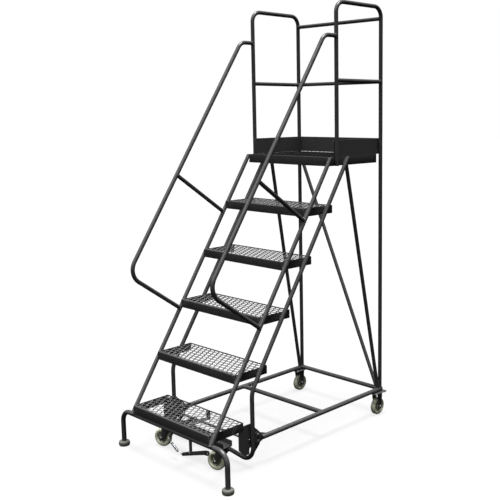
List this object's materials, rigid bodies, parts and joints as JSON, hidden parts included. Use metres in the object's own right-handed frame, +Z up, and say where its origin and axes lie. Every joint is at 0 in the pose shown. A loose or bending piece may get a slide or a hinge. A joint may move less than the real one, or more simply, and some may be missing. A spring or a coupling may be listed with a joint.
{
  "type": "library ladder",
  "caption": "Rolling safety ladder with expanded-metal treads, guarded platform, handrails, fixed rear casters and sprung swivel casters under the first tread.",
  "frame": {"origin": "on the floor, under the middle of the ladder's bounding box", "axes": "+Z up, +Y the way the climber faces (from the first tread towards the platform), +X the climber's right"},
  "size_m": [0.9042, 1.3314, 2.3334],
  "materials": {
    "frame_paint": "satin black powder coat",
    "grating_paint": "satin black powder coat on expanded metal",
    "foot_rubber": "matt grey rubber",
    "wheel_rubber": "matt hard rubber, olive cream",
    "zinc_plated": "bright zinc plate"
  },
  "bodies": {
    "root": {"base_rail_left": "frame_paint", "base_rail_right": "frame_paint", "front_foot_left": "foot_rubber", "front_foot_right": "foot_rubber", "front_leg_tube": "frame_paint", "front_stringer_left": "frame_paint", "front_stringer_right": "frame_paint", "guardrail_left": "frame_paint", "guardrail_right": "frame_paint", "handrail_left": "frame_paint", "handrail_right": "frame_paint", "handrail_strut_left": "frame_paint", "handrail_strut_right": "frame_paint", "lock_plate_left": "frame_paint", "lock_plate_right": "frame_paint", "lock_post": "frame_paint", "lock_spring": "zinc_plated", "mid_crossbar": "frame_paint", "mid_rail_left": "frame_paint", "mid_rail_rear": "frame_paint", "mid_rail_right": "frame_paint", "pivot_rod": "zinc_plated", "platform_frame": "frame_paint", "platform_grating": "grating_paint", "rear_axle_left": "zinc_plated", "rear_axle_right": "zinc_plated", "rear_brace": "frame_paint", "rear_crossbar": "frame_paint", "rear_fork_left": "frame_paint", "rear_fork_right": "frame_paint", "rear_stringer_tube": "frame_paint", "side_brace_left": "frame_paint", "side_brace_right": "frame_paint", "toe_board_left": "frame_paint", "toe_board_rear": "frame_paint", "toe_board_right": "frame_paint", "top_rail_rear": "frame_paint", "tread_1_frame": "frame_paint", "tread_1_grating": "grating_paint", "tread_2_frame": "frame_paint", "tread_2_grating": "grating_paint", "tread_3_frame": "frame_paint", "tread_3_grating": "grating_paint", "tread_4_frame": "frame_paint", "tread_4_grating": "grating_paint", "tread_5_frame": "frame_paint", "tread_5_grating": "grating_paint"},
    "caster_carriage": {"caster_carriage": "frame_paint", "swivel_plate_left": "frame_paint", "swivel_plate_right": "frame_paint"},
    "lock_lever": {"lock_lever": "frame_paint"},
    "front_caster_left": {"front_fork_left": "frame_paint", "front_axle_left": "zinc_plated"},
    "front_wheel_left": {"front_wheel_left": "wheel_rubber"},
    "rear_wheel_left": {"rear_wheel_left": "wheel_rubber"},
    "front_caster_right": {"front_fork_right": "frame_paint", "front_axle_right": "zinc_plated"},
    "front_wheel_right": {"front_wheel_right": "wheel_rubber"},
    "rear_wheel_right": {"rear_wheel_right": "wheel_rubber"}
  },
  "joints": [
    {"name": "carriage_hinge", "type": "hinge", "parent": "root", "child": "caster_carriage", "pos_m": [0, -0.38635, 0.15], "axis": [1, 0, 0], "range_deg": [0, 5], "stiffness_Nm_per_rad": 20, "springref_deg": 5},
    {"name": "lever_pivot", "type": "hinge", "parent": "root", "child": "lock_lever", "pos_m": [0.037, -0.55685, 0.0596], "axis": [0, 1, 0], "range_deg": [0, 5.1]},
    {"name": "front_swivel_left", "type": "hinge", "parent": "caster_carriage", "child": "front_caster_left", "pos_m": [-0.22, -0.49035, 0.118], "axis": [0, 0, 1], "continuous": true},
    {"name": "front_wheel_spin_left", "type": "hinge", "parent": "front_caster_left", "child": "front_wheel_left", "pos_m": [-0.25527, -0.50154, 0.0508], "axis": [0.3024, -0.9532, 0], "continuous": true},
    {"name": "rear_wheel_spin_left", "type": "hinge", "parent": "root", "child": "rear_wheel_left", "pos_m": [-0.3162, 0.61115, 0.0508], "axis": [1, 0, 0], "continuous": true},
    {"name": "front_swivel_right", "type": "hinge", "parent": "caster_carriage", "child": "front_caster_right", "pos_m": [0.22, -0.49035, 0.118], "axis": [0, 0, 1], "continuous": true},
    {"name": "front_wheel_spin_right", "type": "hinge", "parent": "front_caster_right", "child": "front_wheel_right", "pos_m": [0.18473, -0.50154, 0.0508], "axis": [0.3024, -0.9532, 0], "continuous": true},
    {"name": "rear_wheel_spin_right", "type": "hinge", "parent": "root", "child": "rear_wheel_right", "pos_m": [0.3162, 0.61115, 0.0508], "axis": [1, 0, 0], "continuous": true}
  ],
  "couplings": [
    {"joint": "lever_pivot", "follows": "carriage_hinge", "ratio": 1}
  ]
}
